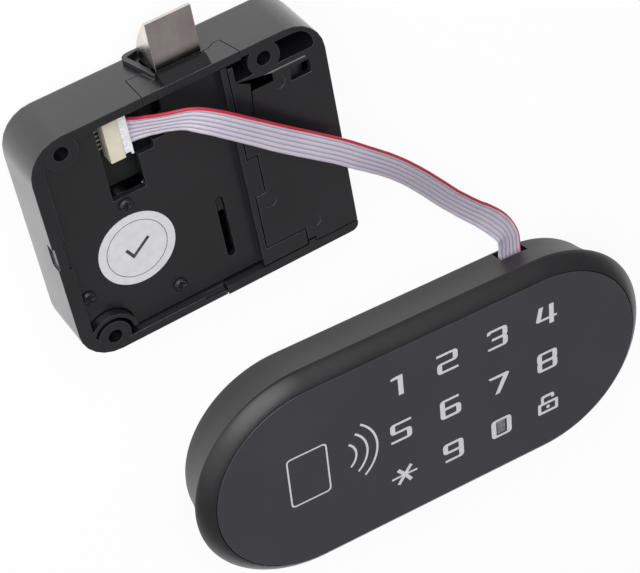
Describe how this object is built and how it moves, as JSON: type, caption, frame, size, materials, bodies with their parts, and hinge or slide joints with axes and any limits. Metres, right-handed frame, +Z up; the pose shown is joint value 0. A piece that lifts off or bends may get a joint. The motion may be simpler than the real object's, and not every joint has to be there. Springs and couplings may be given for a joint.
{
  "type": "electronic cabinet lock",
  "caption": "Battery-powered cabinet lock: black lock box with a bevelled spring latch driven by a small gear train, joined by a flat ribbon cable to an oval touch keypad.",
  "frame": {"origin": "middle of the footprint of lock box and keypad, on the surface that they lie on", "axes": "+X along the lock box's long side, +Y the way the latch bolt points, +Z up, out of the door side of the lock box and the glass of the keypad"},
  "size_m": [0.163, 0.1982, 0.0253],
  "materials": {
    "matte_black": "fine matte moulded ABS",
    "bezel_black": "satin moulded ABS",
    "panel_grey": "smooth touch panel with printed figures",
    "window_grey": "translucent light window",
    "bolt_nickel": "brushed nickel-plated zinc",
    "bright_steel": "bright nickel-plated sheet and wire",
    "dark_screw": "black oxide screws",
    "gear_white": "natural acetal",
    "brass": "turned brass",
    "copper_track": "copper antenna winding",
    "board_green": "solder-masked circuit board",
    "header_cream": "cream nylon",
    "plug_white": "white nylon",
    "ribbon_grey": "grey ribbon insulation with one red edge conductor",
    "cell_sleeve": "plain wrapped cell",
    "white_paper": "white paper sticker"
  },
  "bodies": {
    "lock_body": {"lock_case": "matte_black", "back_plate": "matte_black", "plate_screw_1": "dark_screw", "plate_screw_2": "dark_screw", "plate_screw_3": "dark_screw", "round_sticker": "white_paper", "bolt_guide": "matte_black", "return_spring": "bright_steel", "guide_rod": "bright_steel", "gear_axle": "bright_steel", "motor": "bright_steel", "control_board": "board_green", "sounder": "matte_black", "board_header": "header_cream", "header_pin_1": "bright_steel", "header_pin_2": "bright_steel", "header_pin_3": "bright_steel", "header_pin_4": "bright_steel", "header_pin_5": "bright_steel", "header_pin_6": "bright_steel", "ribbon_plug": "plug_white", "battery_cell_1": "cell_sleeve", "battery_cell_2": "cell_sleeve", "contact_bridge": "bright_steel", "contact_spring": "bright_steel", "terminal_plus": "bright_steel", "terminal_minus": "bright_steel", "terminal_spring": "bright_steel", "ribbon_cable": "ribbon_grey", "keypad_housing": "matte_black", "mount_insert_left": "brass", "mount_insert_right": "brass", "keypad_bezel": "bezel_black", "touch_panel": "panel_grey", "status_window": "window_grey", "touch_board": "board_green", "reader_coil": "copper_track", "keypad_buzzer": "matte_black", "keypad_socket": "header_cream", "keypad_plug": "plug_white", "keypad_screw_1": "dark_screw", "keypad_screw_2": "dark_screw", "keypad_screw_3": "dark_screw", "keypad_screw_4": "dark_screw", "keypad_screw_5": "dark_screw", "keypad_screw_6": "dark_screw"},
    "bolt_carriage": {"latch_bolt": "bolt_nickel", "bolt_pin": "bright_steel", "bolt_slider": "gear_white"},
    "gear": {"drive_gear": "gear_white"},
    "motor_rotor": {"motor_pinion": "brass", "motor_shaft": "bright_steel"},
    "cover": {"battery_cover": "matte_black"}
  },
  "joints": [
    {"name": "bolt_slide", "type": "slide", "parent": "lock_body", "child": "bolt_carriage", "axis": [0, 1, 0], "range_m": [-0.0138, 0], "stiffness_N_per_m": 150, "deforming": ["return_spring"]},
    {"name": "gear_spin", "type": "hinge", "parent": "lock_body", "child": "gear", "pos_m": [-0.04986, 0.04694, 0.0098], "axis": [0, 0, 1], "range_deg": [-158.2, 0]},
    {"name": "motor_spin", "type": "hinge", "parent": "lock_body", "child": "motor_rotor", "pos_m": [-0.05991, 0.03986, 0.0127], "axis": [0, 0, 1], "range_deg": [0, 562.4]},
    {"name": "cover_slide", "type": "slide", "parent": "lock_body", "child": "cover", "axis": [0, -1, 0], "range_m": [0, 0.035]}
  ],
  "couplings": [
    {"joint": "gear_spin", "follows": "bolt_slide", "rad_per_m": 200},
    {"joint": "motor_spin", "follows": "bolt_slide", "rad_per_m": -711.11}
  ]
}
